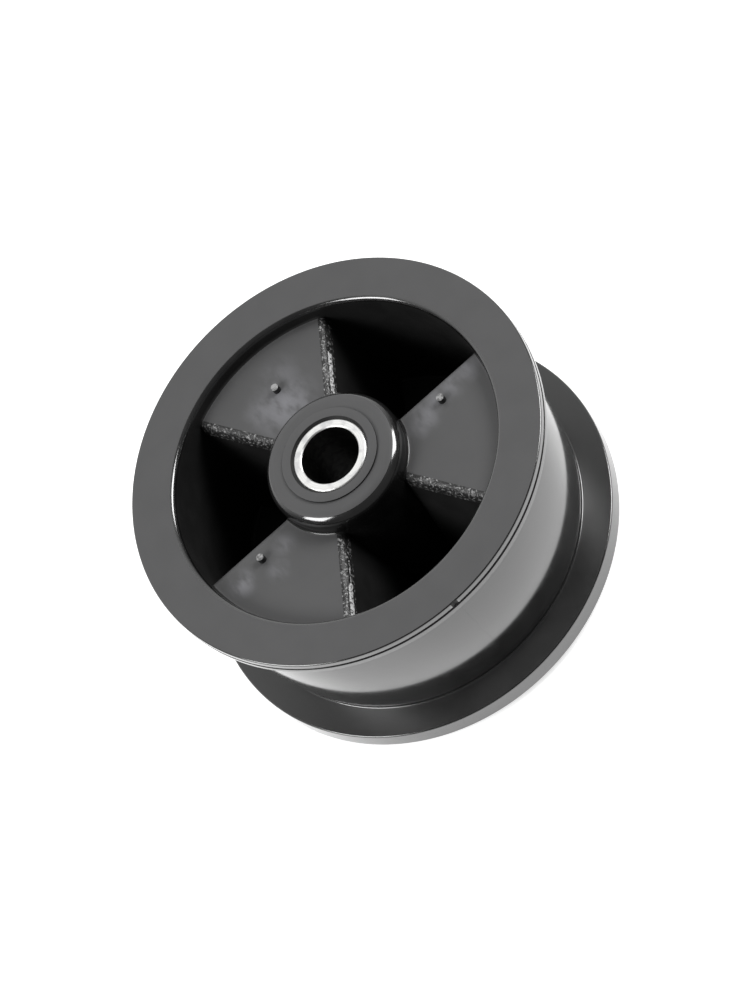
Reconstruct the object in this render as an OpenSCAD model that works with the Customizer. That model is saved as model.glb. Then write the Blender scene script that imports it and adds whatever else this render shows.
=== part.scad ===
/* [Bush] */
// Diameter of the shaft bore through the bush
bore_d = 10.1; // [8:0.1:12]
// Wall thickness of the bush
bush_wall = 1.45; // [1:0.05:2.5]
// How far each end of the bush lies below the thrust ring
bush_recess = 0.25; // [0.1:0.05:0.6]
// Chamfer on the edges of the bush
bush_chamfer = 0.2; // [0.1:0.05:0.45]

/* [Hub] */
// Thickness of the hub around the bush
hub_wall = 5.6; // [4:0.1:7]
// How far the hub shoulder stands proud of the flange face
hub_proud = 1.05; // [0.6:0.05:3]
// Rounding of the hub shoulder
hub_edge_r = 2.2; // [0.6:0.1:2.6]
// Width of the raised thrust ring around the bush
thrust_ring_w = 1.95; // [1:0.05:2.5]
// Height of the thrust ring above the hub shoulder
thrust_ring_h = 0.35; // [0.15:0.05:0.8]
// Chamfer at the mouths of the hub's seat for the bush
seat_chamfer = 0.4; // [0.2:0.05:0.8]

/* [Belt track] */
// Diameter of the drum at its ends, beside the flanges
drum_d = 62.2; // [58:0.2:72]
// Rise of the drum's crown, which keeps the belt centred
crown_h = 1.8; // [0.4:0.1:3]
// Thickness of the drum wall at its open ends
drum_wall = 2.4; // [2:0.1:3.5]
// Width of the belt track between the flanges
track_w = 28.4; // [24:0.2:40]
// Fillet where the drum meets the flanges
track_fillet_r = 0.4; // [0.2:0.1:0.8]

/* [Flanges] */
// Height of the flanges above the drum's ends
flange_h = 5.4; // [3:0.1:9]
// Thickness of the front flange
front_flange_t = 2.7; // [1.8:0.1:3.5]
// Thickness of the rear flange
rear_flange_t = 3.5; // [1.8:0.1:4.5]
// Rounding of the outer edge of each flange face
flange_edge_r = 0.3; // [0.2:0.1:0.5]
// Rounding of the flange edges beside the belt track
track_edge_r = 0.3; // [0.2:0.1:0.5]
// Rounding of the inner edge of each flange face
mouth_edge_r = 0.9; // [0.4:0.1:1.2]

/* [Webs] */
// Depth of the web faces below the flange faces
web_depth = 2.9; // [2.2:0.1:5]
// Thickness of each web
web_t = 2.4; // [1.8:0.1:4]
// Fillet where the webs meet the drum and the hub
web_fillet_r = 0.5; // [0.2:0.1:0.6]
// Rounding of the web edges along the pockets
web_edge_r = 1.5; // [0.4:0.1:1.8]
// Thickness of the ribs that join front and rear webs
rib_t = 1.8; // [1.5:0.1:3]
// Lean of the ribs from the axis, in degrees
rib_lean = 5.7; // [3:0.1:7]
// Draft of the pocket walls on the drum and the hub, in degrees
pocket_draft = 0.5; // [0:0.1:1.5]
// Witness step where the pockets leave the hub and drum walls
pocket_step = 0.05; // [0.03:0.01:0.2]

/* [Mould marks] */
// Diameter of the gate pips on the front webs
pip_d = 1.4; // [0.8:0.1:2.5]
// Height of the gate pips
pip_h = 1.1; // [0.3:0.1:1.5]
// Diameter of the circle that the gate pips stand on
pip_circle_d = 39.8; // [36:0.2:46]
// Swing of the two outer pips away from their web's middle, in degrees
pip_swing = 18.8; // [10:0.1:21]
// Width of the mould seams down the drum
seam_w = 0.3; // [0.2:0.05:0.6]
// Height of the mould seams above the drum
seam_h = 0.08; // [0.04:0.01:0.2]
// Width of the seam groove around the front flange
rim_seam_w = 0.6; // [0.2:0.05:0.7]

/* [Hidden] */
$fn = 144;
// Overlap that keeps cuts and joins clean
lap = 0.05;
// Shift of a web edge's arc towards the corner it rounds
edge_bite = 0.02;

// Radii, from the shaft outwards
bore_r = bore_d / 2;
bush_r = bore_r + bush_wall;
ring_r = bush_r + thrust_ring_w;
hub_r = bush_r + hub_wall;
drum_r = drum_d / 2;
wall_r = drum_r - drum_wall;
flange_r = drum_r + flange_h;
// Radius of the arc that crowns the drum
crown_r = (pow(track_w / 2, 2) + pow(crown_h, 2)) / (2 * crown_h);

// Levels, from the rear thrust ring at zero up to the front one
hub_rear = thrust_ring_h;
rear_face = hub_rear + hub_proud;
track_rear = rear_face + rear_flange_t;
track_front = track_rear + track_w;
front_face = track_front + front_flange_t;
hub_front = front_face + hub_proud;
total_h = hub_front + thrust_ring_h;
web_rear = rear_face + web_depth;
web_front = front_face - web_depth;
pocket_floor = web_rear + web_t;

// Three webs at the front alternate with three at the rear
web_count = 3;
web_pitch = 360 / web_count;
half_pocket = web_pitch / 4;
first_pocket = -90;
first_web = 90;
pocket_taper = (web_front - pocket_floor) * tan(pocket_draft);
// Where a rib's pocket side crosses the web face, from the radial line
rib_top = tan(rib_lean) * (web_front - total_h / 2) - rib_t / 2 / cos(rib_lean);
pip_swings = [0, -pip_swing, pip_swing];
seam_angles = [first_pocket, first_web];
rim_seam_z = (track_front + front_face) / 2;

// Sliver between a square corner at the origin and the arc that rounds it
module corner_sliver(r) {
    difference() {
        translate([-lap, -lap]) square(r + lap);
        translate([r, r]) circle(r);
    }
}

// The sliver at a corner of the section, turned into its quadrant
module rounding(x, z, turn, r) {
    translate([x, z]) rotate(turn) corner_sliver(r);
}

// Diamond that chamfers the edge of the bush's seat at one end of the hub
module seat_mouth(z) {
    translate([bush_r, z]) rotate(45) square(seat_chamfer * sqrt(2), center = true);
}

// Half section of the crowned drum, with its arc raised by the given height
module crown_section(raise) {
    intersection() {
        translate([drum_r + crown_h - crown_r, (track_rear + track_front) / 2]) circle(crown_r + raise);
        translate([wall_r, track_rear - lap]) square([drum_wall + flange_h - lap, track_w + 2 * lap]);
    }
}

// Half section of the wheel with its webs as one solid disc
module wheel_section() {
    difference() {
        union() {
            square([ring_r, total_h]);
            translate([0, hub_rear]) square([hub_r, hub_front - hub_rear]);
            translate([0, web_rear]) square([drum_r, web_front - web_rear]);
            translate([wall_r, rear_face]) square([drum_wall, front_face - rear_face]);
            crown_section(0);
            translate([wall_r, rear_face]) square([flange_r - wall_r, rear_flange_t]);
            translate([wall_r, track_front]) square([flange_r - wall_r, front_flange_t]);
            rounding(drum_r, track_rear, 0, track_fillet_r);
            rounding(drum_r, track_front, 270, track_fillet_r);
            rounding(wall_r, web_front, 90, web_fillet_r);
            rounding(wall_r, web_rear, 180, web_fillet_r);
            rounding(hub_r, web_front, 0, web_fillet_r);
            rounding(hub_r, web_rear, 270, web_fillet_r);
        }
        translate([-lap, -lap]) square([bush_r + lap, total_h + 2 * lap]);
        seat_mouth(0);
        seat_mouth(total_h);
        rounding(flange_r, front_face, 180, flange_edge_r);
        rounding(flange_r, rear_face, 90, flange_edge_r);
        rounding(flange_r, track_front, 90, track_edge_r);
        rounding(flange_r, track_rear, 180, track_edge_r);
        rounding(wall_r, front_face, 270, mouth_edge_r);
        rounding(wall_r, rear_face, 0, mouth_edge_r);
        rounding(hub_r, hub_front, 180, hub_edge_r);
        rounding(hub_r, hub_rear, 90, hub_edge_r);
        translate([flange_r, rim_seam_z]) rotate(45) square(rim_seam_w / sqrt(2), center = true);
    }
}

// Tapered ring between hub and drum that the pockets are taken from
module pocket_ring() {
    inner_r = hub_r - pocket_step;
    outer_r = wall_r + pocket_step;
    rim_top = web_front + web_fillet_r + pocket_step;
    rotate_extrude() polygon([
        [inner_r + pocket_taper, pocket_floor],
        [outer_r - pocket_taper, pocket_floor],
        [outer_r, web_front],
        [outer_r, rim_top],
        [inner_r, rim_top],
        [inner_r, web_front]
    ]);
}

// Everything on the pocket's side of one leaning rib face
module rib_side() {
    reach = 4 * flange_r;
    rotate([0, 0, half_pocket])
        translate([0, 0, total_h / 2])
            rotate([-rib_lean, 0, 0])
                translate([-reach / 2, -reach - rib_t / 2, -reach / 2]) cube(reach);
}

// Cut that rounds the web edge over a rib face, its arc crossing both faces at a small angle
module web_edge_cut() {
    centre = [web_edge_r * (1 - sin(rib_lean)) / cos(rib_lean), -web_edge_r];
    outward = [-cos(rib_lean), sin(rib_lean)];
    far = centre + 2 * web_edge_r * outward;
    top = web_fillet_r + 2 * pocket_step;
    rotate([0, 0, half_pocket])
        translate([0, rib_top, web_front])
            rotate([90, 0, 90])
                linear_extrude(flange_r) difference() {
                    polygon([centre, [centre[0], top], [far[0], top], far]);
                    translate(centre + edge_bite * [-1, 1]) circle(web_edge_r);
                }
}

// One deep front pocket about the +X direction, with its rounded web edges
module pocket() {
    intersection() {
        pocket_ring();
        union() {
            intersection() {
                rib_side();
                mirror([0, 1, 0]) rib_side();
            }
            web_edge_cut();
            mirror([0, 1, 0]) web_edge_cut();
        }
    }
}

// The pockets of one side, the first of them at the given angle
module pockets(first) {
    for (i = [0 : web_count - 1]) rotate(first + i * web_pitch) pocket();
}

// Gate pips standing on the front webs
module gate_pips() {
    for (i = [0 : web_count - 1])
        rotate(first_web + i * web_pitch + pip_swings[i])
            translate([pip_circle_d / 2, 0, web_front - lap]) cylinder(h = pip_h + lap, d = pip_d);
}

// Thin seam ridges over the crown, down opposite sides of the drum
module mould_seams() {
    for (angle = seam_angles)
        rotate(angle)
            translate([0, seam_w / 2, 0])
                rotate([90, 0, 0]) linear_extrude(seam_w) crown_section(seam_h);
}

// Moulded wheel: hub, webs, ribs, drum and flanges in one piece
module pulley_wheel() {
    color([0.09, 0.09, 0.09]) union() {
        difference() {
            rotate_extrude() wheel_section();
            pockets(first_pocket);
            translate([0, 0, total_h]) mirror([0, 0, 1]) pockets(first_web);
        }
        gate_pips();
        mould_seams();
    }
}

// Metal sleeve pressed into the hub
module bush() {
    bush_len = total_h - 2 * bush_recess;
    color([0.78, 0.78, 0.80]) translate([0, 0, bush_recess]) rotate_extrude() polygon([
        [bore_r, bush_chamfer],
        [bore_r + bush_chamfer, 0],
        [bush_r - bush_chamfer, 0],
        [bush_r, bush_chamfer],
        [bush_r, bush_len - bush_chamfer],
        [bush_r - bush_chamfer, bush_len],
        [bore_r + bush_chamfer, bush_len],
        [bore_r, bush_len - bush_chamfer]
    ]);
}

pulley_wheel();
bush();
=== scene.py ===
"""Looks of a flanged tensioner pulley: a black moulded wheel with a steel bush in its hub."""

import logging
import math
from dataclasses import dataclass
from enum import Enum
from typing import Callable, Optional, Sequence

import bmesh
import bpy
from mathutils import Matrix, Vector, noise


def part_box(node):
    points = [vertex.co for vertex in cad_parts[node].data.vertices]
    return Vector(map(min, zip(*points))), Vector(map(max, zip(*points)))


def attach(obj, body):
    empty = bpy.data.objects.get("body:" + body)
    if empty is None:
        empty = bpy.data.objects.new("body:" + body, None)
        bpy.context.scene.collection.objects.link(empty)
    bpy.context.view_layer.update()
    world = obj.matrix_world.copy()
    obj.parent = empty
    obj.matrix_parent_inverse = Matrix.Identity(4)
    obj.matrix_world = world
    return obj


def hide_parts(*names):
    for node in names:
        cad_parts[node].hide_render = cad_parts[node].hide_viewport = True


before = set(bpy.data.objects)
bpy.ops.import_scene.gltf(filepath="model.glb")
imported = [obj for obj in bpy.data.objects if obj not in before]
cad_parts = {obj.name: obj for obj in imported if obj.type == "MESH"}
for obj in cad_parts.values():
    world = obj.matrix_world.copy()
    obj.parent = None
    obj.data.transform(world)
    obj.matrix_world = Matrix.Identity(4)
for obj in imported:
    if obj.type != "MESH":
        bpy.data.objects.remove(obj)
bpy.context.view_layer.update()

MM = 0.001
# Slack of a comparison between lengths, and a wider one that tells surfaces apart
TINY, CLOSE = 0.001 * MM, 0.01 * MM
IMAGE_W, IMAGE_H = 750, 1000
# Directions of the first front pocket and of the front web opposite it, in degrees
FIRST_POCKET, FIRST_WEB = -90.0, 90.0
# Sockets of a Mix node that take and give colours
MIX_A, MIX_B, MIX_RESULT = 6, 7, 2
# Sockets that hold the ranges of a Map Range node
RANGE_SOCKETS = ("From Min", "From Max", "To Min", "To Max")
# Ranges that hold nearly all values of a noise, and its middle ones
NOISE_SPAN, NOISE_MIDDLE = (0.3, 0.7), (0.35, 0.65)
# Refraction index of the black plastic
PLASTIC_IOR = 1.5
# Segments of a fillet and of a broken edge in a half section
FILLET_SEGMENTS, BREAK_SEGMENTS = 4, 2
LOG = logging.getLogger("pulley")

Colour = tuple[float, float, float]


def grey(level: float) -> Colour:
    """A neutral colour of the given level."""
    return (level, level, level)


def polar(r: float, turn: float, z: float) -> Vector:
    """The point at a distance from the shaft axis, a turn about it in radians, and a height."""
    return Vector((r * math.cos(turn), r * math.sin(turn), z))


class Side(Enum):
    """The two ends of the wheel, with the direction that each one faces along the shaft."""

    FRONT = 1
    REAR = -1


class Zone(Enum):
    """The wheel's surface zones, numbered as its material slots."""

    FACE = 0
    TRACK = 1
    FLANGE = 2
    HUB = 3
    POCKET = 4
    # Torn web edges, whose finish paints pale specks as their glints
    TORN = 5
    # Pale stretches of two torn front edges, painted as their highlights
    FRAYED = 6
    GATE = 7


@dataclass(frozen=True)
class Corner:
    """A corner of a half section.

    Attributes:
        r: Distance from the shaft axis in metres.
        z: Height along the shaft axis in metres.
        rounding: Radius of the corner's rounding, or 0 for a sharp corner.
        segments: Segments of that rounding.
    """

    r: float
    z: float
    rounding: float = 0.0
    segments: int = 6


class NodeSheet:
    """A material's node tree, with short ways to add the nodes that the finishes share."""

    def __init__(self, name: str) -> None:
        """Starts a material with its shader and its Object coordinates.

        Args:
            name: The material's name.
        """
        self.material = bpy.data.materials.new(name)
        self.material.use_nodes = True
        self.tree = self.material.node_tree
        self.shader = self.tree.nodes["Principled BSDF"]
        self.coords = self.add("ShaderNodeTexCoord").outputs["Object"]

    def add(self, kind: str, **settings: object) -> bpy.types.Node:
        """Adds a node.

        Args:
            kind: The node's type name.
            **settings: Properties to set on it.

        Returns:
            The new node.
        """
        node = self.tree.nodes.new(kind)
        for key, value in settings.items():
            setattr(node, key, value)
        return node

    def link(self, source: bpy.types.NodeSocket, target: bpy.types.NodeSocket) -> None:
        """Joins an output to an input."""
        self.tree.links.new(source, target)

    def set(self, **values: object) -> None:
        """Sets plain values on the shader's own sockets, named with _ for each space."""
        for key, value in values.items():
            self.shader.inputs[key.replace("_", " ")].default_value = value

    def mapped(self, scale: Sequence[float], turn: float = 0.0) -> bpy.types.NodeSocket:
        """Object coordinates stretched along the axes and turned about the shaft.

        Args:
            scale: Factors along X, Y and Z.
            turn: Turn about Z in radians.

        Returns:
            The mapped vector.
        """
        node = self.add("ShaderNodeMapping")
        self.link(self.coords, node.inputs["Vector"])
        node.inputs["Rotation"].default_value = (0.0, 0.0, turn)
        node.inputs["Scale"].default_value = tuple(scale)
        return node.outputs["Vector"]

    def noise(
        self,
        size: float,
        detail: float = 2.0,
        vector: Optional[bpy.types.NodeSocket] = None,
    ) -> bpy.types.NodeSocket:
        """Noise whose features are about the given size.

        Args:
            size: Feature size in metres.
            detail: Octaves of finer noise.
            vector: Coordinates, or None for the plain Object coordinates.

        Returns:
            The noise value, around 0.5.
        """
        node = self.add("ShaderNodeTexNoise")
        node.inputs["Scale"].default_value = 1.0 / size
        node.inputs["Detail"].default_value = detail
        self.link(vector or self.coords, node.inputs["Vector"])
        return node.outputs["Fac"]

    def spread(
        self,
        value: bpy.types.NodeSocket,
        source: tuple[float, float],
        target: tuple[float, float] = (0.0, 1.0),
    ) -> bpy.types.NodeSocket:
        """Maps one range of a value onto another and clamps it.

        Args:
            value: The value to map.
            source: The range it is read over.
            target: The range it is sent to.

        Returns:
            The mapped value.
        """
        node = self.add("ShaderNodeMapRange", clamp=True, interpolation_type="SMOOTHSTEP")
        for name, number in zip(RANGE_SOCKETS, source + target):
            node.inputs[name].default_value = number
        self.link(value, node.inputs["Value"])
        return node.outputs["Result"]

    def combine(
        self, operation: str, a: bpy.types.NodeSocket, b: bpy.types.NodeSocket | float
    ) -> bpy.types.NodeSocket:
        """Joins two values with a Math operation.

        Args:
            operation: The operation's name.
            a: First value.
            b: Second value, a socket or a number.

        Returns:
            The result.
        """
        node = self.add("ShaderNodeMath", operation=operation)
        self.link(a, node.inputs[0])
        if isinstance(b, float):
            node.inputs[1].default_value = b
        else:
            self.link(b, node.inputs[1])
        return node.outputs["Value"]

    def blend(
        self,
        factor: bpy.types.NodeSocket,
        a: Colour | bpy.types.NodeSocket,
        b: Colour,
    ) -> bpy.types.NodeSocket:
        """Mixes two colours.

        Args:
            factor: How much of b shows.
            a: First colour, or a socket that gives it.
            b: Second colour.

        Returns:
            The mixed colour.
        """
        node = self.add("ShaderNodeMix", data_type="RGBA")
        self.link(factor, node.inputs["Factor"])
        if isinstance(a, tuple):
            node.inputs[MIX_A].default_value = (*a, 1.0)
        else:
            self.link(a, node.inputs[MIX_A])
        node.inputs[MIX_B].default_value = (*b, 1.0)
        return node.outputs[MIX_RESULT]

    def near(self, point: Vector, reach: float) -> bpy.types.NodeSocket:
        """A soft spot around a point.

        Args:
            point: The spot's middle.
            reach: Radius at which it ends.

        Returns:
            1 in the middle and 0 outside.
        """
        node = self.add("ShaderNodeVectorMath", operation="DISTANCE")
        self.link(self.coords, node.inputs[0])
        node.inputs[1].default_value = point
        return self.spread(node.outputs["Value"], (0.0, reach), (1.0, 0.0))

    def bump(self, height: bpy.types.NodeSocket, depth: float, strength: float) -> bpy.types.NodeSocket:
        """A bump from a height.

        Args:
            height: The height value.
            depth: Depth of the bump in metres.
            strength: Strength from 0 to 1.

        Returns:
            The bumped normal.
        """
        node = self.add("ShaderNodeBump")
        node.inputs["Distance"].default_value = depth
        node.inputs["Strength"].default_value = strength
        self.link(height, node.inputs["Height"])
        return node.outputs["Normal"]

    def finish(
        self,
        colour: bpy.types.NodeSocket,
        roughness: bpy.types.NodeSocket,
        normal: bpy.types.NodeSocket,
    ) -> bpy.types.Material:
        """Joins colour, roughness and normal to the shader.

        Args:
            colour: Base colour.
            roughness: Roughness.
            normal: Surface normal.

        Returns:
            The finished material.
        """
        self.link(colour, self.shader.inputs["Base Color"])
        self.link(roughness, self.shader.inputs["Roughness"])
        self.link(normal, self.shader.inputs["Normal"])
        return self.material


@dataclass(frozen=True)
class HazeSpot:
    """A soft pale spot that handling left on a web face.

    Attributes:
        r: Its distance from the shaft axis in metres.
        angle: Its direction in degrees.
        reach: Radius at which it fades out.
        strength: How pale it is, from 0 to 1.
    """

    r: float
    angle: float
    reach: float
    strength: float

    def place(self, z: float) -> Vector:
        """The spot's middle at a given height."""
        return polar(self.r, math.radians(self.angle), z)


@dataclass(frozen=True)
class SatinFaceFinish:
    """Spark-textured black plastic of the faces, hazed by handling around the gate pips.

    Attributes:
        web_level: Height of the front web faces, which the haze lies on.
        spots: The spots of haze.
        dark: Darkest colour of the clean plastic.
        light: Lightest colour of the clean plastic.
        haze: Colour of the haze.
        roughness: Range of its roughness.
        cloud_size: Size of the clouds between dark and light.
        grain_size: Size of the spark texture's grain.
        grain_depth: Depth of that grain.
        streak_size: Size of the wiped streaks in the haze.
        streak_stretch: Scale of the streaks along X, Y and Z.
        streak_turn: Turn of the streaks about the shaft in radians.
        streak_cover: Noise range over which the streaks set in.
    """

    web_level: float
    spots: tuple[HazeSpot, ...]
    dark: Colour = (0.067, 0.067, 0.068)
    light: Colour = (0.074, 0.074, 0.075)
    haze: Colour = (0.200, 0.200, 0.214)
    roughness: tuple[float, float] = (0.50, 0.60)
    cloud_size: float = 6.0 * MM
    grain_size: float = 0.22 * MM
    grain_depth: float = 0.012 * MM
    streak_size: float = 2.2 * MM
    streak_stretch: tuple[float, float, float] = (1.0, 0.45, 1.0)
    streak_turn: float = math.radians(40.0)
    streak_cover: tuple[float, float] = (0.26, 0.62)

    def material(self) -> bpy.types.Material:
        """Makes the material.

        Returns:
            The finished material.
        """
        sheet = NodeSheet("wheel_satin")
        sheet.set(IOR=PLASTIC_IOR)
        cloud = sheet.noise(self.cloud_size, detail=3.0)
        grain = sheet.noise(self.grain_size)
        wiped = sheet.mapped(self.streak_stretch, self.streak_turn)
        streaks = sheet.noise(self.streak_size, detail=4.0, vector=wiped)
        haze = None
        for spot in self.spots:
            glow = sheet.near(spot.place(self.web_level), spot.reach)
            glow = sheet.combine("MULTIPLY", glow, spot.strength)
            haze = glow if haze is None else sheet.combine("MAXIMUM", haze, glow)
        scuffs = sheet.combine("MULTIPLY", haze, sheet.spread(streaks, self.streak_cover))
        colour = sheet.blend(sheet.spread(cloud, NOISE_SPAN), self.dark, self.light)
        colour = sheet.blend(scuffs, colour, self.haze)
        roughness = sheet.spread(cloud, NOISE_SPAN, self.roughness)
        normal = sheet.bump(grain, self.grain_depth, strength=0.35)
        return sheet.finish(colour, roughness, normal)


@dataclass(frozen=True)
class SmoothPlasticFinish:
    """Smooth black plastic with faint flow marks.

    Attributes:
        name: The material's name.
        dark: Colour between the flow marks.
        light: Colour of the flow marks.
        roughness: Range of its roughness.
        ior: Refraction index of the plastic.
        coat: Weight of the glaze that a polished mould leaves.
        coat_ior: Refraction index of that glaze.
        coat_roughness: Roughness of that glaze.
        cloud_size: Size of the flow marks.
        wave_size: Size of the surface's faint waves.
        wave_depth: Depth of those waves.
    """

    name: str
    dark: Colour
    light: Colour
    roughness: tuple[float, float]
    ior: float = PLASTIC_IOR
    coat: float = 0.0
    coat_ior: float = PLASTIC_IOR
    coat_roughness: float = 0.12
    cloud_size: float = 4.0 * MM
    wave_size: float = 2.5 * MM
    wave_depth: float = 0.01 * MM

    def material(self) -> bpy.types.Material:
        """Makes the material.

        Returns:
            The finished material.
        """
        sheet = NodeSheet(self.name)
        sheet.set(IOR=self.ior, Coat_Weight=self.coat)
        sheet.set(Coat_Roughness=self.coat_roughness, Coat_IOR=self.coat_ior)
        cloud = sheet.noise(self.cloud_size, detail=3.0)
        wave = sheet.noise(self.wave_size, detail=1.0)
        colour = sheet.blend(sheet.spread(cloud, NOISE_MIDDLE), self.dark, self.light)
        roughness = sheet.spread(cloud, NOISE_SPAN, self.roughness)
        normal = sheet.bump(wave, self.wave_depth, strength=0.2)
        return sheet.finish(colour, roughness, normal)


TRACK_FINISH = SmoothPlasticFinish(
    "wheel_track", grey(0.008), grey(0.012), roughness=(0.14, 0.22), coat=1.0, coat_ior=1.68
)
FLANGE_FINISH = SmoothPlasticFinish(
    "wheel_flange", grey(0.028), grey(0.031), roughness=(0.36, 0.42), coat=0.5, coat_roughness=0.34
)
HUB_FINISH = SmoothPlasticFinish("wheel_hub", grey(0.005), grey(0.008), roughness=(0.14, 0.20))
POCKET_FINISH = SmoothPlasticFinish(
    "wheel_pocket", grey(0.013), grey(0.015), roughness=(0.5, 0.6), ior=1.3
)


@dataclass(frozen=True)
class TornEdgeGlintFinish:
    """Rough torn plastic along the web edges, with pale specks painted into its colour as the torn
    edge's glints: painted highlights.

    Attributes:
        name: The material's name.
        cover: Noise range over which the painted glint specks set in; lower means more of them.
        bright: Colour of the painted glint specks.
        dark: Colour between them.
        roughness: Range of its roughness.
        speck_size: Size of the painted glint specks.
        grain_size: Size of the torn grain.
        grain_depth: Depth of that grain.
    """

    name: str
    cover: tuple[float, float]
    bright: Colour
    dark: Colour = grey(0.018)
    roughness: tuple[float, float] = (0.25, 0.5)
    speck_size: float = 0.42 * MM
    grain_size: float = 0.3 * MM
    grain_depth: float = 0.12 * MM

    def material(self) -> bpy.types.Material:
        """Makes the material.

        Returns:
            The finished material.
        """
        sheet = NodeSheet(self.name)
        sheet.set(IOR=PLASTIC_IOR)
        specks = sheet.noise(self.speck_size, detail=3.0)
        grain = sheet.noise(self.grain_size)
        # Pale specks painted into the colour stand in for the torn edge's glints: painted highlights
        colour = sheet.blend(sheet.spread(specks, self.cover), self.dark, self.bright)
        roughness = sheet.spread(grain, NOISE_SPAN, self.roughness)
        normal = sheet.bump(grain, self.grain_depth, strength=0.8)
        return sheet.finish(colour, roughness, normal)


# Torn-edge finishes whose pale specks are painted glints: sparse grey ones, and dense near-white ones on
# two front edges
TORN_GLINT_FINISH = TornEdgeGlintFinish("wheel_torn_edge_glints", cover=(0.54, 0.70), bright=grey(0.36))
PALE_HIGHLIGHT_FINISH = TornEdgeGlintFinish("wheel_painted_pale_highlight", cover=(0.36, 0.54), bright=grey(0.78))


@dataclass(frozen=True)
class GateFinish:
    """Pale broken plastic on top of the gate pips.

    Attributes:
        dark: Colour between the specks.
        bright: Colour of the specks.
        roughness: Range of its roughness.
        speck_size: Size of the specks.
        speck_depth: Depth of the specks.
    """

    dark: Colour = grey(0.10)
    bright: Colour = grey(0.32)
    roughness: tuple[float, float] = (0.35, 0.6)
    speck_size: float = 0.5 * MM
    speck_depth: float = 0.06 * MM

    def material(self) -> bpy.types.Material:
        """Makes the material.

        Returns:
            The finished material.
        """
        sheet = NodeSheet("wheel_gate")
        sheet.set(IOR=PLASTIC_IOR)
        specks = sheet.noise(self.speck_size, detail=3.0)
        colour = sheet.blend(sheet.spread(specks, NOISE_MIDDLE), self.dark, self.bright)
        roughness = sheet.spread(specks, NOISE_SPAN, self.roughness)
        normal = sheet.bump(specks, self.speck_depth, strength=0.5)
        return sheet.finish(colour, roughness, normal)


@dataclass(frozen=True)
class TurnedSteelFinish:
    """Turned steel with fine turning lines and smudges.

    Attributes:
        name: The material's name.
        dark: Colour of the smudges.
        bright: Colour of the clean metal.
        roughness: Roughness from the smudges to the clean metal.
        smudge_size: Size of the smudges.
        smudge_cover: Noise range over which the smudges give way to clean metal.
        line_levels: Brightness of the metal in and between the turning lines.
        line_scale: Scale of the turning lines.
        line_depth: Depth of the turning lines.
    """

    name: str
    dark: Colour
    bright: Colour
    roughness: tuple[float, float]
    smudge_size: float = 1.6 * MM
    smudge_cover: tuple[float, float] = (0.36, 0.56)
    line_levels: tuple[float, float] = (0.65, 1.0)
    line_scale: float = 900.0
    line_depth: float = 0.01 * MM

    def material(self) -> bpy.types.Material:
        """Makes the material.

        Returns:
            The finished material.
        """
        sheet = NodeSheet(self.name)
        sheet.set(Metallic=1.0)
        rings = sheet.add("ShaderNodeTexWave", wave_type="RINGS", rings_direction="Z")
        rings.inputs["Scale"].default_value = self.line_scale
        rings.inputs["Distortion"].default_value = 3.0
        rings.inputs["Detail"].default_value = 3.0
        rings.inputs["Detail Scale"].default_value = 2.0
        sheet.link(sheet.coords, rings.inputs["Vector"])
        smudge = sheet.noise(self.smudge_size, detail=4.0)
        worn = sheet.spread(smudge, self.smudge_cover)
        lines = sheet.spread(rings.outputs["Fac"], (0.0, 1.0), self.line_levels)
        colour = sheet.blend(sheet.combine("MULTIPLY", worn, lines), self.dark, self.bright)
        roughness = sheet.spread(smudge, NOISE_SPAN, self.roughness)
        normal = sheet.bump(rings.outputs["Fac"], self.line_depth, strength=0.25)
        return sheet.finish(colour, roughness, normal)


STEEL_FINISH = TurnedSteelFinish(
    "bush_steel", grey(0.74), (0.97, 0.97, 0.95), roughness=(0.46, 0.34)
)
# The bore's dark colour is painted shade, for the shadowed hole that its wall reflects
BORE_PAINTED_SHADE_FINISH = TurnedSteelFinish(
    "bush_bore_painted_shade", grey(0.018), (0.045, 0.045, 0.044), roughness=(0.50, 0.40)
)


def spun_section(
    corners: Sequence[Corner], steps: int, longest: Callable[[Vector], float]
) -> bmesh.types.BMesh:
    """Rounds a closed half section and spins it about the shaft axis.

    Args:
        corners: The section's corners in order.
        steps: Steps of the full turn.
        longest: Gives the longest edge allowed at a point of the section; longer ones are subdivided.

    Returns:
        A closed bmesh with its normals pointing outwards.
    """
    bm = bmesh.new()
    verts = [bm.verts.new((corner.r, 0.0, corner.z)) for corner in corners]
    for first, second in zip(verts, verts[1:] + verts[:1]):
        bm.edges.new((first, second))
    for vert, corner in zip(verts, corners):
        if corner.rounding > 0.0:
            bmesh.ops.bevel(
                bm,
                geom=[vert],
                offset=corner.rounding,
                offset_type="OFFSET",
                segments=corner.segments,
                profile=0.5,
                affect="VERTICES",
                material=-1,
            )
    for edge in bm.edges[:]:
        middle = (edge.verts[0].co + edge.verts[1].co) / 2
        cuts = int(edge.calc_length() / longest(middle))
        if cuts > 0:
            bmesh.ops.subdivide_edges(bm, edges=[edge], cuts=cuts)
    bmesh.ops.spin(
        bm,
        geom=bm.verts[:] + bm.edges[:],
        cent=(0.0, 0.0, 0.0),
        axis=(0.0, 0.0, 1.0),
        dvec=(0.0, 0.0, 0.0),
        angle=math.tau,
        steps=steps,
        use_merge=True,
        use_duplicate=False,
    )
    bmesh.ops.recalc_face_normals(bm, faces=bm.faces[:])
    return bm


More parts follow.
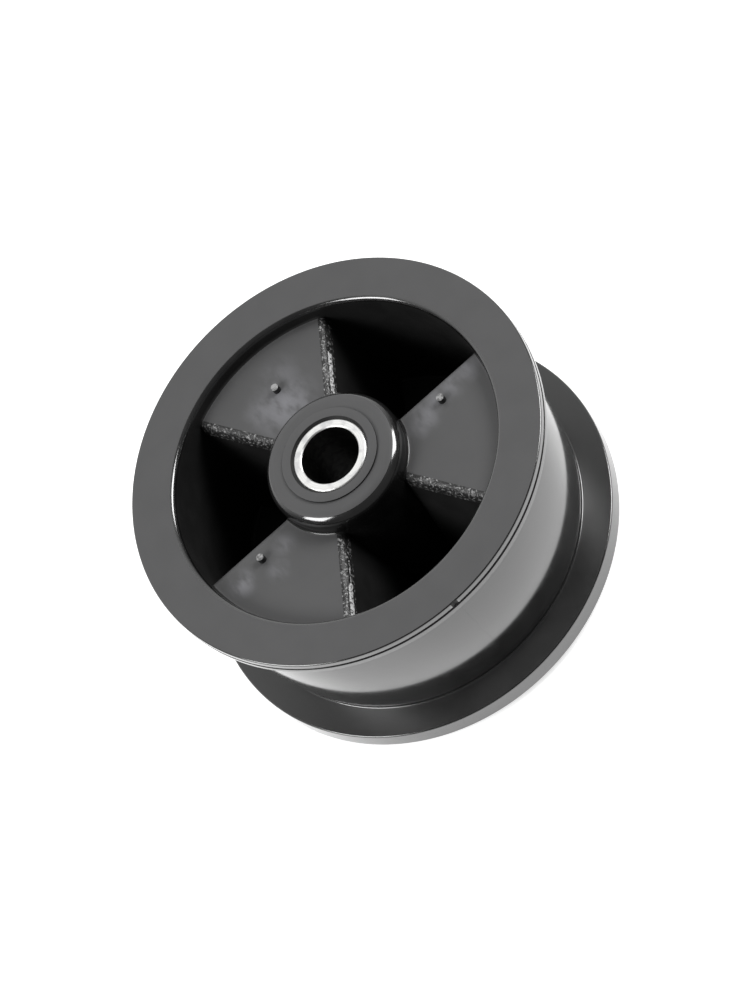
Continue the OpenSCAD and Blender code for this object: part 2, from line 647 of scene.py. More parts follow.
def make_piece(
    name: str, bm: bmesh.types.BMesh, materials: Sequence[bpy.types.Material], crease: float
) -> bpy.types.Object:
    """Turns a bmesh into a smooth-shaded object with its materials.

    Args:
        name: The piece's name.
        bm: Its mesh, which is freed.
        materials: Its material slots in order.
        crease: Angle in degrees past which an edge is shaded sharp.

    Returns:
        The new object, at the origin.
    """
    mesh = bpy.data.meshes.new(name)
    for face in bm.faces:
        face.smooth = True
    bm.to_mesh(mesh)
    bm.free()
    mesh.set_sharp_from_angle(angle=math.radians(crease))
    for material in materials:
        mesh.materials.append(material)
    piece = bpy.data.objects.new(name, mesh)
    bpy.context.scene.collection.objects.link(piece)
    normals = piece.modifiers.new("flat_faces", "WEIGHTED_NORMAL")
    normals.keep_sharp = True
    LOG.info("%s: %d faces", name, len(mesh.polygons))
    return piece


HAZE_SPOTS = (
    HazeSpot(16.5 * MM, 92.0, 8.0 * MM, 0.85),
    HazeSpot(14.0 * MM, 84.0, 5.0 * MM, 0.6),
    HazeSpot(18.5 * MM, 101.0, 5.5 * MM, 0.6),
    HazeSpot(21.0 * MM, 86.0, 6.0 * MM, 0.4),
    HazeSpot(26.0 * MM, -5.5, 3.5 * MM, 0.6),
    HazeSpot(22.5 * MM, -7.0, 3.5 * MM, 0.55),
    HazeSpot(19.0 * MM, -10.0, 3.5 * MM, 0.5),
    HazeSpot(16.0 * MM, -15.0, 3.8 * MM, 0.7),
    HazeSpot(14.5 * MM, -20.5, 3.0 * MM, 0.5),
    HazeSpot(25.0 * MM, 191.0, 3.5 * MM, 0.8),
    HazeSpot(20.0 * MM, 202.0, 3.0 * MM, 0.45),
    HazeSpot(15.8 * MM, 196.0, 3.0 * MM, 0.5),
)


@dataclass
class MouldedWheel:
    """The moulded wheel: hub, webs, pockets, drum and flanges in one piece.

    The outer sizes come from the frame. Most others repeat the part's own, and those that the part
    doesn't have are listed here.

    Attributes:
        ring_edge_r: Rounding of the thrust rings' outer edges.
        nick_span: Half the span of the nick in the rim, in degrees.
        nick_reach: How far inwards from the rim the nick is felt.
        nick_depth: Depth of the nick.
        pip_taper: Radius of a pip's top as a share of its foot's.
        pip_foot: How far a pip reaches into its web.
        pip_chip_h: Height of the breaks on a pip's top.
        pip_chip_size: Size of those breaks.
        seam_h: Height of the mould seams, half the part's, so that they draw a fine line.
        seam_root: How far a seam reaches into the drum.
        seam_top_share: Width of a seam's crest as a share of its foot's.
        steps: Steps of the full turn; floor, rib, torn and edge steps share out half a pocket's pitch.
        front_grid: Longest edge on the front webs, which carry the torn edges.
        rear_grid: Longest edge on the rear webs.
        wall_grid: Longest edge on the walls beside the webs.
        plain_grid: Longest edge elsewhere.
        torn_depth: How far a tear reaches down a rib face.
        torn_margin: Clean stretch of a web edge beside the hub and the drum.
        tear_h: Height of the tears.
        tear_sizes: Feature sizes of the coarse and the fine tears.
        fine_tear: Weight of the fine tears.
        tear_start: Depth below the web face at which the tears start.
        torn_start: Depth at which the torn finish, with its painted glint specks, starts.
        least_lean: Least upward share of the normal on a torn face.
        worn_span: Half the span of a web edge in degrees.
        streak_turn: Direction of the edge with a pale streak painted as its highlight, in degrees.
        speck_turn: Direction of the edge with pale specks painted as its glints, in degrees.
        pale_depths: Depth at which the stretches of painted pale highlight start, and how far they pass
            the edge's rounding.
        pale_patch: Size of the patches in them.
        streak_depth: Depth at which the thin part of the painted highlight streak starts.
        streak_share: Share of the edge's length, from the hub, past which the painted highlight streak
            is solid.
        patch_gap: Noise level at which patches break the streak.
        speck_fade: How fast the specks thin out from the hub outwards, and how dense they start.
        flat_share: Upright share of the normal past which a face counts as flat.
        shoulder_share: Upright share past which the hub's rounding is as dull as its face.
        glossy_share: Upright share past which the rest of that rounding is polished.
        level_slack: How far a flat face may lie from its level.
        wall_slack: How far a wall face may lie from its radius.
        crease: Angle in degrees past which an edge is shaded sharp.
    """

    flange_r: float
    height: float
    bush_r: float
    hub_wall: float = 5.6 * MM
    hub_proud: float = 1.05 * MM
    hub_edge_r: float = 2.2 * MM
    ring_w: float = 1.95 * MM
    ring_h: float = 0.35 * MM
    ring_edge_r: float = 0.1 * MM
    seat_chamfer: float = 0.4 * MM
    flange_h: float = 5.4 * MM
    drum_wall: float = 2.4 * MM
    crown_h: float = 1.8 * MM
    front_flange_t: float = 2.7 * MM
    rear_flange_t: float = 3.5 * MM
    flange_edge_r: float = 0.3 * MM
    track_edge_r: float = 0.3 * MM
    track_fillet_r: float = 0.4 * MM
    mouth_edge_r: float = 0.9 * MM
    web_depth: float = 2.9 * MM
    web_t: float = 2.4 * MM
    web_fillet_r: float = 0.5 * MM
    web_edge_r: float = 1.5 * MM
    rib_t: float = 1.8 * MM
    rib_lean: float = math.radians(5.7)
    rim_seam_w: float = 0.6 * MM
    nick_span: float = 0.6
    nick_reach: float = 0.2 * MM
    nick_depth: float = 0.3 * MM
    pip_r: float = 0.7 * MM
    pip_taper: float = 0.94
    pip_segments: int = 24
    pip_foot: float = 0.1 * MM
    pip_chip_h: float = 0.10 * MM
    pip_chip_size: float = 0.6 * MM
    pip_h: float = 1.1 * MM
    pip_circle_r: float = 19.9 * MM
    pip_swing: float = 18.8
    seam_w: float = 0.3 * MM
    seam_h: float = 0.04 * MM
    seam_root: float = 0.3 * MM
    seam_top_share: float = 0.3
    web_count: int = 3
    steps: int = 360
    crown_steps: int = 28
    floor_steps: int = 20
    rib_steps: int = 3
    torn_steps: int = 4
    edge_steps: int = 9
    front_grid: float = 0.36 * MM
    rear_grid: float = 0.75 * MM
    wall_grid: float = 0.8 * MM
    plain_grid: float = 4.0 * MM
    torn_depth: float = 1.1 * MM
    torn_margin: float = 0.3 * MM
    tear_h: float = 0.12 * MM
    tear_sizes: tuple[float, float] = (0.55 * MM, 0.25 * MM)
    fine_tear: float = 0.6
    tear_start: float = 0.002 * MM
    torn_start: float = 0.004 * MM
    least_lean: float = 0.02
    worn_span: float = 12.0
    streak_turn: float = 240.0
    speck_turn: float = 60.0
    pale_depths: tuple[float, float] = (0.7 * MM, 0.4 * MM)
    pale_patch: float = 2.2 * MM
    streak_depth: float = 1.0 * MM
    streak_share: float = 0.55
    patch_gap: float = 0.25
    speck_fade: tuple[float, float] = (1.2, 1.0)
    flat_share: float = 0.97
    shoulder_share: float = 0.8
    glossy_share: float = 0.3
    level_slack: float = 0.03 * MM
    wall_slack: float = 0.05 * MM
    crease: float = 38.0

    def __post_init__(self) -> None:
        """Works out the radii and levels that follow from the fields."""
        self.ring_r = self.bush_r + self.ring_w
        self.hub_r = self.bush_r + self.hub_wall
        self.drum_r = self.flange_r - self.flange_h
        self.wall_r = self.drum_r - self.drum_wall
        self.hub_rear = self.ring_h
        self.hub_front = self.height - self.ring_h
        self.rear_face = self.hub_rear + self.hub_proud
        self.front_face = self.hub_front - self.hub_proud
        self.track_rear = self.rear_face + self.rear_flange_t
        self.track_front = self.front_face - self.front_flange_t
        self.track_middle = (self.track_front + self.track_rear) / 2
        self.rim_seam_z = (self.track_front + self.front_face) / 2
        half_track = (self.track_front - self.track_rear) / 2
        self.crown_r = (half_track**2 + self.crown_h**2) / (2 * self.crown_h)
        self.web_rear = self.rear_face + self.web_depth
        self.web_front = self.front_face - self.web_depth
        self.pocket_depth = self.web_front - self.web_rear - self.web_t
        self.rib_top = self.rib_line(0.0)
        self.edge_depth = self.edge_point(0.0)[1]
        self.profile = self.rib_profile()
        self.half_pitch = self.steps // (2 * self.web_count)
        self.web_mid_r = (self.hub_r + self.wall_r) / 2

    def rib_line(self, depth: float) -> float:
        """Where a leaning rib face lies at a depth below the web face.

        Args:
            depth: Depth below the web face.

        Returns:
            Its distance from the radial line, positive away from the pocket.
        """
        half_height = self.web_front - self.height / 2
        half_rib = self.rib_t / 2 / math.cos(self.rib_lean)
        return math.tan(self.rib_lean) * (half_height - depth) - half_rib

    def pip_places(self) -> list[Vector]:
        """The gate pips' places on the front webs.

        Returns:
            The middle of each pip's foot.
        """
        places = []
        for index, swing in enumerate((0.0, -self.pip_swing, self.pip_swing)):
            turn = math.radians(FIRST_WEB + index * 360.0 / self.web_count + swing)
            places.append(polar(self.pip_circle_r, turn, self.web_front))
        return places

    def drum_radius(self, z: float) -> float:
        """The crowned drum's radius at a height along the shaft."""
        rise = math.sqrt(self.crown_r**2 - (z - self.track_middle) ** 2)
        return self.drum_r + self.crown_h - self.crown_r + rise

    def crown_levels(self) -> list[float]:
        """Heights of the points along the drum's crown, from its front end to its rear end."""
        span, count = self.track_rear - self.track_front, self.crown_steps
        return [self.track_front + span * index / count for index in range(count + 1)]

    def section(self) -> list[Corner]:
        """The half section with the webs as one disc.

        Returns:
            Its corners, from the front of the bush seat outwards.
        """
        seam_z = self.rim_seam_z
        half_seam = self.rim_seam_w / 2
        crown = [Corner(self.drum_radius(z), z) for z in self.crown_levels()[1:-1]]
        return [
            Corner(self.bush_r, self.height - self.seat_chamfer),
            Corner(self.bush_r + self.seat_chamfer, self.height),
            Corner(self.ring_r, self.height, self.ring_edge_r, BREAK_SEGMENTS),
            Corner(self.ring_r, self.hub_front),
            Corner(self.hub_r, self.hub_front, self.hub_edge_r),
            Corner(self.hub_r, self.web_front, self.web_fillet_r, FILLET_SEGMENTS),
            Corner(self.wall_r, self.web_front, self.web_fillet_r, FILLET_SEGMENTS),
            Corner(self.wall_r, self.front_face, self.mouth_edge_r),
            Corner(self.flange_r, self.front_face, self.flange_edge_r),
            Corner(self.flange_r, seam_z + half_seam),
            Corner(self.flange_r - half_seam, seam_z),
            Corner(self.flange_r, seam_z - half_seam),
            Corner(self.flange_r, self.track_front, self.track_edge_r),
            Corner(self.drum_r, self.track_front, self.track_fillet_r, FILLET_SEGMENTS),
            *crown,
            Corner(self.drum_r, self.track_rear, self.track_fillet_r, FILLET_SEGMENTS),
            Corner(self.flange_r, self.track_rear, self.track_edge_r),
            Corner(self.flange_r, self.rear_face, self.flange_edge_r),
            Corner(self.wall_r, self.rear_face, self.mouth_edge_r),
            Corner(self.wall_r, self.web_rear, self.web_fillet_r, FILLET_SEGMENTS),
            Corner(self.hub_r, self.web_rear, self.web_fillet_r, FILLET_SEGMENTS),
            Corner(self.hub_r, self.hub_rear, self.hub_edge_r),
            Corner(self.ring_r, self.hub_rear),
            Corner(self.ring_r, 0.0, self.ring_edge_r, BREAK_SEGMENTS),
            Corner(self.bush_r + self.seat_chamfer, 0.0),
            Corner(self.bush_r, self.seat_chamfer),
        ]

    def edge_point(self, share: float) -> tuple[float, float]:
        """A point on the rounding between a rib face and the web face.

        Args:
            share: 0 at the rib face and 1 at the web face.

        Returns:
            Distance from the radial line, and depth below the web face.
        """
        lean = self.rib_lean
        middle = self.rib_top + self.web_edge_r * (1.0 - math.sin(lean)) / math.cos(lean)
        angle = (math.pi - lean) + share * (math.pi / 2 - (math.pi - lean))
        return (
            middle + self.web_edge_r * math.cos(angle),
            self.web_edge_r * (1.0 - math.sin(angle)),
        )

    def rib_profile(self) -> list[tuple[float, float]]:
        """Points from a rib's foot up its face and over the web edge.

        Returns:
            Distance from the radial line and depth below the web face, one pair for each step.
        """
        torn_foot = self.edge_depth + self.torn_depth
        points = []
        for count, low, high in (
            (self.rib_steps, self.pocket_depth, torn_foot),
            (self.torn_steps, torn_foot, self.edge_depth),
        ):
            depths = [low + (high - low) * index / count for index in range(count)]
            points += [(self.rib_line(depth), depth) for depth in depths]
        count = self.edge_steps
        return points + [self.edge_point(index / count) for index in range(count + 1)]

    def pressed(self, r: float, step: int) -> tuple[float, float]:
        """Where a step of the disc goes when the pockets are pressed into it.

        Args:
            r: Distance from the shaft axis.
            step: Steps from the middle of a pocket, 0 to half_pitch.

        Returns:
            Angle from the pocket's middle in radians, and depth below the web face.
        """
        quarter = math.pi / (2 * self.web_count)
        if step < self.floor_steps:
            foot = quarter + math.asin(self.profile[0][0] / r)
            return foot * step / self.floor_steps, self.pocket_depth
        web_start = self.floor_steps + len(self.profile) - 1
        if step <= web_start:
            line, depth = self.profile[step - self.floor_steps]
            return quarter + math.asin(line / r), depth
        web_edge = quarter + math.asin(self.profile[-1][0] / r)
        share = (step - web_start) / (self.half_pitch - web_start)
        return web_edge + share * (2 * quarter - web_edge), 0.0

    def press_pockets(self, bm: bmesh.types.BMesh, side: Side) -> None:
        """Presses the pockets of one side into the spun disc.

        Args:
            bm: The spun wheel.
            side: The side that the pockets open to.
        """
        level = self.web_front if side is Side.FRONT else self.web_rear
        first = math.radians(FIRST_POCKET if side is Side.FRONT else FIRST_WEB)
        pitch = math.tau / self.web_count
        for vert in bm.verts:
            r = math.hypot(vert.co.x, vert.co.y)
            rise = (vert.co.z - level) * side.value
            if not self.hub_r - TINY <= r <= self.wall_r + TINY or rise < -TINY:
                continue
            top = self.web_depth + self.hub_proud - self.hub_edge_r
            if r > self.web_mid_r:
                top = self.web_depth - self.mouth_edge_r
            if rise > top - TINY:
                continue
            turn = math.atan2(vert.co.y, vert.co.x) - first
            pocket = round(turn / pitch)
            local = turn - pocket * pitch
            step = round(abs(local) / (math.tau / self.steps))
            angle, depth = self.pressed(r, min(step, self.half_pitch))
            share = 1.0
            if rise > self.web_fillet_r + TINY:
                share = 1.0 - (rise - self.web_fillet_r) / (top - self.web_fillet_r)
                depth = 0.0
            local = math.copysign(abs(local) + share * (angle - abs(local)), local)
            turn = first + pocket * pitch + local
            vert.co = polar(r, turn, vert.co.z - side.value * depth)

    def tear_edges(self, bm: bmesh.types.BMesh, side: Side) -> None:
        """Roughens the web edges along the pockets of one side.

        Args:
            bm: The wheel with its pockets.
            side: The side to roughen.
        """
        level = self.web_front if side is Side.FRONT else self.web_rear
        lowest = self.edge_depth + self.torn_depth
        coarse, fine = self.tear_sizes
        for vert in bm.verts:
            depth = (level - vert.co.z) * side.value
            if not self.between_walls(vert.co) or vert.normal.z * side.value < self.least_lean:
                continue
            if not self.tear_start < depth < lowest - CLOSE or self.is_clean_edge(vert.co):
                continue
            tear = noise.noise(vert.co / coarse) + self.fine_tear * noise.noise(vert.co / fine)
            fade = min(1.0, (lowest - depth) / self.torn_depth)
            vert.co += vert.normal * (self.tear_h * tear * fade)

    def between_walls(self, place: Vector) -> bool:
        """Whether a spot lies between hub and drum, clear of the fillets beside them."""
        r = math.hypot(place.x, place.y)
        return self.hub_r + self.torn_margin < r < self.wall_r - self.torn_margin

    def is_clean_edge(self, place: Vector) -> bool:
        """Whether a spot lies on one of the two front web edges that came out of the mould clean."""
        turn = math.degrees(math.atan2(place.y, place.x)) % 180.0
        return place.z > self.height / 2 and min(turn, 180.0 - turn) < self.worn_span

    def edge_zone(self, place: Vector, depth: float) -> Zone:
        """Whether a spot on a web edge is clean, torn with sparse painted glints, or torn and painted
        with pale highlights.

        Args:
            place: The spot.
            depth: Its depth below the web face.

        Returns:
            FACE on the clean front edges, the zone of painted pale highlights on those stretches of two
            torn front edges, otherwise the torn zone with its painted glint specks.
        """
        if self.is_clean_edge(place):
            return Zone.FACE
        start, past = self.pale_depths
        if place.z < self.height / 2 or not start < depth < self.edge_depth + past:
            return Zone.TORN
        r = math.hypot(place.x, place.y)
        turn = math.degrees(math.atan2(place.y, place.x)) % 360.0
        share = (r - self.hub_r) / (self.wall_r - self.hub_r)
        ragged = noise.noise(place / self.pale_patch)
        # Pale stretches stand in for the edge's highlights: a painted highlight streak on one edge,
        # painted glint specks on the other
        painted_pale = False
        if abs(turn - self.streak_turn) < self.worn_span:
            thin = self.streak_depth < depth < self.edge_depth and ragged > -self.patch_gap
            painted_pale = share > self.streak_share or thin or ragged > self.patch_gap + share
        elif abs(turn - self.speck_turn) < self.worn_span:
            rate, dense = self.speck_fade
            painted_pale = ragged > rate * share - dense
        return Zone.FRAYED if painted_pale else Zone.TORN

    def zone(self, face: bmesh.types.BMFace) -> Zone:
        """The surface zone that a face belongs to.

        Args:
            face: A face of the wheel, before its edges are torn.

        Returns:
            Its zone.
        """
        middle = face.calc_center_median()
        r = math.hypot(middle.x, middle.y)
        upright, slack = abs(face.normal.z), self.wall_slack
        flat = upright > self.flat_share
        levels = (self.rear_face, self.web_rear, self.web_front, self.front_face)
        if flat and any(abs(middle.z - level) < self.level_slack for level in levels):
            return Zone.FACE
        if r > self.drum_r - slack:
            inner = flat and self.track_rear - 2 * slack < middle.z < self.track_front + 2 * slack
            return Zone.FLANGE if inner else Zone.TRACK
        if r > self.wall_r - slack:
            from_mouth = min(self.front_face - middle.z, middle.z - self.rear_face)
            return Zone.TRACK if from_mouth < self.mouth_edge_r + slack else Zone.POCKET
        # The bush seat's chamfer takes the dull pocket finish as painted shade: a dark line around the
        # bush
        if r < self.bush_r + self.seat_chamfer:
            return Zone.POCKET
        if r < self.hub_r + CLOSE:
            if upright > self.shoulder_share:
                return Zone.FACE
            return Zone.TRACK if upright > self.glossy_share else Zone.HUB
        depth, facing = self.web_front - middle.z, face.normal.z
        if middle.z < self.height / 2:
            depth, facing = middle.z - self.web_rear, -facing
        if depth < 0.0:
            return Zone.HUB if r < self.web_mid_r else Zone.POCKET
        lowest = self.edge_depth + self.torn_depth
        torn = self.torn_start < depth < lowest and facing > self.least_lean
        return self.edge_zone(middle, depth) if torn and self.between_walls(middle) else Zone.POCKET

    def mark_zones(self, bm: bmesh.types.BMesh) -> None:
        """Sorts the faces into their surface zones.

        Args:
            bm: The wheel with its pockets, before the mould marks are added.
        """
        for face in bm.faces:
            face.material_index = self.zone(face).value

    def nick_rim(self, bm: bmesh.types.BMesh) -> None:
        """Dents the front rim's lip where the mould seam crosses it, and gives the dent the dull pocket
        finish as painted shade, so that it reads as a dark gap.

        Args:
            bm: The wheel.
        """
        for vert in bm.verts:
            turn = math.degrees(math.atan2(vert.co.y, vert.co.x))
            r = math.hypot(vert.co.x, vert.co.y)
            on_lip = r > self.flange_r - self.nick_reach and vert.co.z > self.rim_seam_z
            if on_lip and abs(turn - FIRST_POCKET) < self.nick_span:
                vert.co.y += self.nick_depth
                # The dent's faces take the dull pocket finish: painted shade
                for face in vert.link_faces:
                    face.material_index = Zone.POCKET.value

    def add_pips(self, bm: bmesh.types.BMesh) -> None:
        """Adds the broken gate pips.

        Args:
            bm: The wheel, which takes the pips.
        """
        rise = Vector((0.0, 0.0, (self.pip_h - self.pip_foot) / 2))
        for place in self.pip_places():
            made = bmesh.ops.create_cone(
                bm,
                cap_ends=True,
                segments=self.pip_segments,
                radius1=self.pip_r,
                radius2=self.pip_taper * self.pip_r,
                depth=self.pip_h + self.pip_foot,
                matrix=Matrix.Translation(place + rise),
            )
            faces = {face for vert in made["verts"] for face in vert.link_faces}
            for face in faces:
                top = face.normal.z > 0.5
                face.material_index = Zone.GATE.value if top else Zone.HUB.value
            for vert in made["verts"]:
                if vert.co.z > self.web_front + self.pip_h / 2:
                    vert.co.z += self.pip_chip_h * noise.noise(vert.co / self.pip_chip_size)

    def add_seams(self, bm: bmesh.types.BMesh) -> None:
        """Adds the mould seams down opposite sides of the drum.

        Args:
            bm: The wheel, which takes the seams.
        """
        root = self.seam_root
        span = self.track_front - self.track_rear
        middle = Vector((self.drum_r - root / 2, 0.0, self.track_middle))
        size = Matrix.Diagonal((root, self.seam_w, span, 1.0))
        for angle in (FIRST_POCKET, FIRST_WEB):
            ridge = bmesh.new()
            bmesh.ops.create_cube(ridge, size=1.0, matrix=Matrix.Translation(middle) @ size)
            uprights = [edge for edge in ridge.edges if edge.calc_length() > span / 2]
            bmesh.ops.subdivide_edges(ridge, edges=uprights, cuts=self.crown_steps - 1)
            for vert in ridge.verts:
                if vert.co.x > self.drum_r - root / 2:
                    vert.co.x += self.seam_h
                    vert.co.y *= self.seam_top_share
                vert.co.x += self.drum_radius(vert.co.z) - self.drum_r
            for face in ridge.faces:
                face.material_index = Zone.TRACK.value
            ridge.transform(Matrix.Rotation(math.radians(angle), 4, "Z"))
            strip = bpy.data.meshes.new("seam")
            ridge.to_mesh(strip)
            ridge.free()
            bm.from_mesh(strip)
            bpy.data.meshes.remove(strip)

    def fineness(self, place: Vector) -> float:
        """The longest edge allowed at a point of the half section.

        Args:
            place: The point.

        Returns:
            The length in metres, short on the webs and on the walls beside them.
        """
        slack = 2 * self.wall_slack
        if self.hub_r < place.x < self.wall_r:
            if abs(place.z - self.web_front) < slack:
                return self.front_grid
            if abs(place.z - self.web_rear) < slack:
                return self.rear_grid
        beside = self.hub_r - slack < place.x < self.wall_r + slack
        return self.wall_grid if beside else self.plain_grid

    def build(self) -> bpy.types.Object:
        """Builds and dresses the wheel.

        Returns:
            The wheel's object.
        """
        bm = spun_section(self.section(), self.steps, self.fineness)
        for side in Side:
            self.press_pockets(bm, side)
        bm.normal_update()
        self.mark_zones(bm)
        for side in Side:
            self.tear_edges(bm, side)
        self.nick_rim(bm)
        self.add_pips(bm)
        self.add_seams(bm)
        bmesh.ops.recalc_face_normals(bm, faces=bm.faces[:])
        finishes = {
            Zone.FACE: SatinFaceFinish(self.web_front, HAZE_SPOTS),
            Zone.TRACK: TRACK_FINISH,
            Zone.FLANGE: FLANGE_FINISH,
            Zone.HUB: HUB_FINISH,
            Zone.POCKET: POCKET_FINISH,
            Zone.TORN: TORN_GLINT_FINISH,
            Zone.FRAYED: PALE_HIGHLIGHT_FINISH,
            Zone.GATE: GateFinish(),
        }
        materials = [finishes[zone].material() for zone in Zone]
        piece = make_piece("wheel", bm, materials, self.crease)
        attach(piece, "root")
        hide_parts("pulley_wheel")
        return piece


@dataclass
class SleeveBush:
    """The steel sleeve pressed into the hub.

    Attributes:
        outer_r: Outer radius.
        bottom: Height of its rear end.
        top: Height of its front end.
        wall: Thickness of its wall.
        chamfer: Chamfer on its edges.
        edge_r: Rounding that breaks the chamfers' edges.
        grid: Longest edge along the section.
        steps: Steps of the full turn.
        crease: Angle in degrees past which an edge is shaded sharp.
    """

    outer_r: float
    bottom: float
    top: float
    wall: float = 1.45 * MM
    chamfer: float = 0.2 * MM
    edge_r: float = 0.06 * MM
    grid: float = 3.0 * MM
    steps: int = 180
    crease: float = 40.0

    def section(self) -> list[Corner]:
        """The sleeve's half section.

        Returns:
            Its corners, from the rear end of the bore outwards.
        """
        bore_r = self.outer_r - self.wall
        cut = self.chamfer
        places = (
            (bore_r, self.bottom + cut),
            (bore_r + cut, self.bottom),
            (self.outer_r - cut, self.bottom),
            (self.outer_r, self.bottom + cut),
            (self.outer_r, self.top - cut),
            (self.outer_r - cut, self.top),
            (bore_r + cut, self.top),
            (bore_r, self.top - cut),
        )
        return [Corner(r, z, self.edge_r, BREAK_SEGMENTS) for r, z in places]

    def build(self) -> bpy.types.Object:
        """Builds and dresses the sleeve.

        Returns:
            The sleeve's object.
        """
        bm = spun_section(self.section(), self.steps, lambda place: self.grid)
        inside = self.outer_r - self.wall + CLOSE
        # Faces inside the bore take the dark finish that paints its shade
        for face in bm.faces:
            middle = face.calc_center_median()
            face.material_index = 1 if math.hypot(middle.x, middle.y) < inside else 0
        materials = [STEEL_FINISH.material(), BORE_PAINTED_SHADE_FINISH.material()]
        piece = make_piece("sleeve", bm, materials, self.crease)
        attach(piece, "root")
        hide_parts("bush")
        return piece


def direction(azimuth: float, elevation: float) -> Vector:
    """The direction from the pulley towards a place around it.

    Args:
        azimuth: Turn around the pulley in radians, 0 on the camera's side.
        elevation: Height in radians.

    Returns:
        A vector of length 1.
    """
    flat = math.cos(elevation)
    return Vector((math.sin(azimuth) * flat, -math.cos(azimuth) * flat, math.sin(elevation)))


@dataclass(frozen=True)
class Softbox:
    """A square soft lamp that faces the pulley.

    Attributes:
        name: The lamp's name.
        azimuth: Direction around the pulley in degrees, 0 on the camera's side.
        elevation: Height in degrees.
        distance: Distance in metres.
        size: Side of the lamp in metres.
        power: Power in watts.
    """

    name: str
    azimuth: float
    elevation: float
    distance: float
    size: float
    power: float

    def build(self, aim: Vector) -> bpy.types.Object:
        """Hangs the lamp.

        Args:
            aim: The point that it faces.

        Returns:
            The lamp's object.
        """
        away = direction(math.radians(self.azimuth), math.radians(self.elevation))
        light = bpy.data.lights.new(self.name, "AREA")
        light.shape = "SQUARE"
        light.size = self.size
        light.energy = self.power
        lamp = bpy.data.objects.new(self.name, light)
        lamp.location = aim + away * self.distance
        lamp.rotation_euler = away.to_track_quat("Z", "Y").to_euler()
        bpy.context.scene.collection.objects.link(lamp)
        return lamp


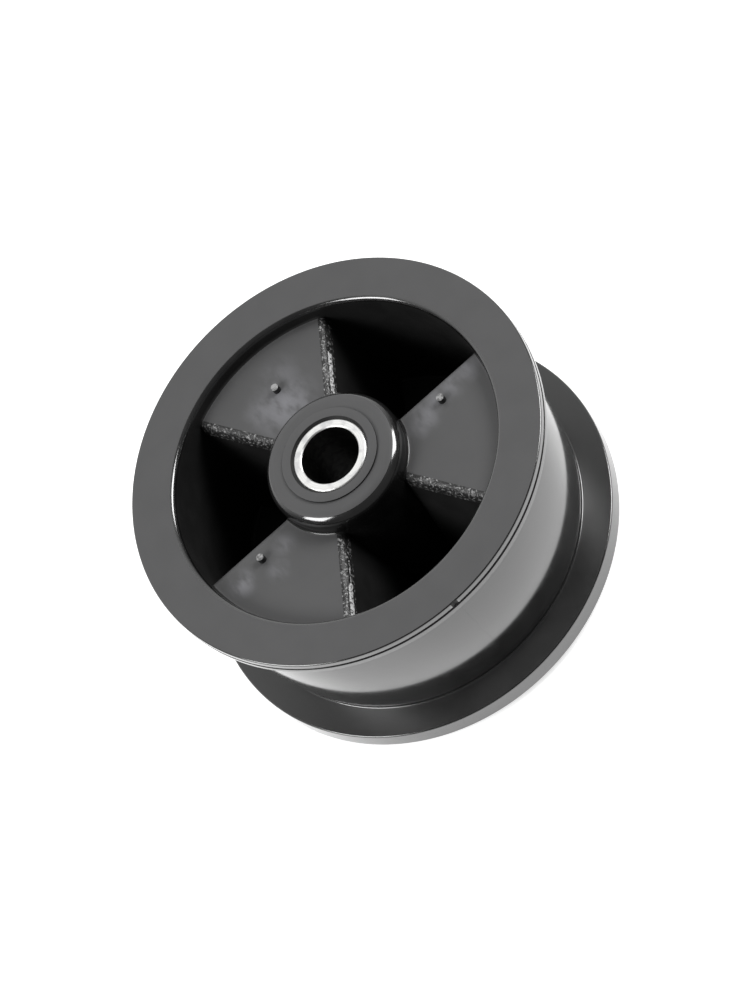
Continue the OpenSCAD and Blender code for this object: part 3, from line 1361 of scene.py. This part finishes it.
@dataclass
class Studio:
    """Floor, soft light and the camera at the photograph's angle.

    Attributes:
        flange_r: Radius of the pulley's flanges.
        aim_z: Height of the point that the camera and the lamps aim at.
        elevation: Height of the camera in radians.
        azimuth: Turn of the camera around the pulley in radians.
        roll: Roll of the camera in radians.
        reach: Distance of the camera in flange radii.
        focal_px: Focal length in pixels of the image.
        aim_px: Where the aimed point lies in the image.
        sensor: Height of the camera's sensor in millimetres.
        lamps: The lamps.
        bright_elevation: Height of the room's brightest side in radians.
        room_span: Range over which the room goes from dark to bright, as the cosine to that side.
        room_levels: Light of the room's dark and bright sides.
        floor_half: Half the floor's side in metres.
        floor_colour: Grey level of the floor.
        floor_roughness: Roughness of the floor.
        floor_glow: What the floor adds where the camera or a reflection sees it.
    """

    flange_r: float
    aim_z: float
    elevation: float = math.radians(54.9)
    azimuth: float = math.radians(4.1)
    roll: float = math.radians(44.95)
    reach: float = 20.0
    focal_px: float = 4501.0
    aim_px: tuple[float, float] = (332.6, 457.8)
    sensor: float = 36.0
    lamps: tuple[Softbox, ...] = (
        Softbox("softbox_left", azimuth=-82.0, elevation=36.0, distance=0.9, size=0.40, power=5.0),
        Softbox("softbox_right", azimuth=90.0, elevation=36.0, distance=0.9, size=0.40, power=6.0),
    )
    bright_elevation: float = math.radians(25.0)
    room_span: tuple[float, float] = (0.25, 0.86)
    room_levels: tuple[float, float] = (0.12, 1.0)
    floor_half: float = 4.0
    floor_colour: float = 0.82
    floor_roughness: float = 0.9
    floor_glow: float = 0.7

    def build_floor(self) -> bpy.types.Object:
        """Lays a pale floor that shows white to the camera and keeps the shadow.

        Returns:
            The floor's object.
        """
        bm = bmesh.new()
        bmesh.ops.create_grid(bm, x_segments=1, y_segments=1, size=self.floor_half)
        mesh = bpy.data.meshes.new("floor")
        bm.to_mesh(mesh)
        bm.free()
        material = bpy.data.materials.new("floor_white")
        material.use_nodes = True
        tree = material.node_tree
        shader = tree.nodes["Principled BSDF"]
        shader.inputs["Base Color"].default_value = (self.floor_colour,) * 3 + (1.0,)
        shader.inputs["Roughness"].default_value = self.floor_roughness
        shader.inputs["Specular IOR Level"].default_value = 0.0
        shader.inputs["Emission Color"].default_value = (1.0, 1.0, 1.0, 1.0)
        paths = tree.nodes.new("ShaderNodeLightPath")
        seen = paths.outputs["Is Camera Ray"]
        for ray in ("Is Glossy Ray", "Is Transmission Ray"):
            either = tree.nodes.new("ShaderNodeMath")
            either.operation = "MAXIMUM"
            tree.links.new(seen, either.inputs[0])
            tree.links.new(paths.outputs[ray], either.inputs[1])
            seen = either.outputs["Value"]
        glow = tree.nodes.new("ShaderNodeMath")
        glow.operation = "MULTIPLY"
        glow.inputs[1].default_value = self.floor_glow
        tree.links.new(seen, glow.inputs[0])
        tree.links.new(glow.outputs["Value"], shader.inputs["Emission Strength"])
        mesh.materials.append(material)
        floor = bpy.data.objects.new("floor", mesh)
        bpy.context.scene.collection.objects.link(floor)
        return floor

    def build_world(self) -> None:
        """Fills the room with soft light that is brightest on the far side, away from the camera."""
        world = bpy.data.worlds.new("soft_room")
        world.use_nodes = True
        tree = world.node_tree
        background = tree.nodes["Background"]
        background.inputs["Color"].default_value = (1.0, 1.0, 1.0, 1.0)
        coords = tree.nodes.new("ShaderNodeTexCoord")
        toward = tree.nodes.new("ShaderNodeVectorMath")
        toward.operation = "DOT_PRODUCT"
        toward.inputs[1].default_value = direction(self.azimuth + math.pi, self.bright_elevation)
        tree.links.new(coords.outputs["Generated"], toward.inputs[0])
        level = tree.nodes.new("ShaderNodeMapRange")
        level.interpolation_type = "SMOOTHSTEP"
        for name, number in zip(RANGE_SOCKETS, self.room_span + self.room_levels):
            level.inputs[name].default_value = number
        tree.links.new(toward.outputs["Value"], level.inputs["Value"])
        tree.links.new(level.outputs["Result"], background.inputs["Strength"])
        bpy.context.scene.world = world

    def build_camera(self) -> bpy.types.Object:
        """Sets up the rolled camera so that the front face lies where the photograph has it.

        Returns:
            The camera's object.
        """
        data = bpy.data.cameras.new("camera")
        data.sensor_fit = "VERTICAL"
        data.sensor_height = self.sensor
        data.lens = data.sensor_height * self.focal_px / IMAGE_H
        camera = bpy.data.objects.new("camera", data)
        back = direction(self.azimuth, self.elevation)
        level_right = Vector((math.cos(self.azimuth), math.sin(self.azimuth), 0.0))
        level_up = back.cross(level_right)
        right = math.cos(self.roll) * level_right - math.sin(self.roll) * level_up
        up = math.sin(self.roll) * level_right + math.cos(self.roll) * level_up
        distance = self.reach * self.flange_r
        across = (self.aim_px[0] - IMAGE_W / 2) / self.focal_px * distance
        above = (IMAGE_H / 2 - self.aim_px[1]) / self.focal_px * distance
        aim = Vector((0.0, 0.0, self.aim_z))
        place = aim - right * across - up * above + back * distance
        facing = Matrix((right, up, back)).transposed().to_4x4()
        camera.matrix_world = Matrix.Translation(place) @ facing
        bpy.context.scene.collection.objects.link(camera)
        bpy.context.scene.camera = camera
        return camera

    def build(self) -> None:
        """Builds the floor, the room, the lamps and the camera."""
        self.build_floor()
        self.build_world()
        aim = Vector((0.0, 0.0, self.aim_z))
        for lamp in self.lamps:
            lamp.build(aim)
        self.build_camera()
        bpy.context.scene.view_settings.view_transform = "Standard"


def main() -> None:
    """Builds the pulley and its studio."""
    logging.basicConfig(level=logging.INFO, format="%(name)s: %(message)s")
    wheel_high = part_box("pulley_wheel")[1]
    bush_low, bush_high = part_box("bush")
    wheel = MouldedWheel(flange_r=wheel_high.x, height=wheel_high.z, bush_r=bush_high.x)
    wheel.build()
    SleeveBush(outer_r=bush_high.x, bottom=bush_low.z, top=bush_high.z).build()
    Studio(flange_r=wheel.flange_r, aim_z=wheel.front_face).build()


if __name__ == "__main__":
    main()
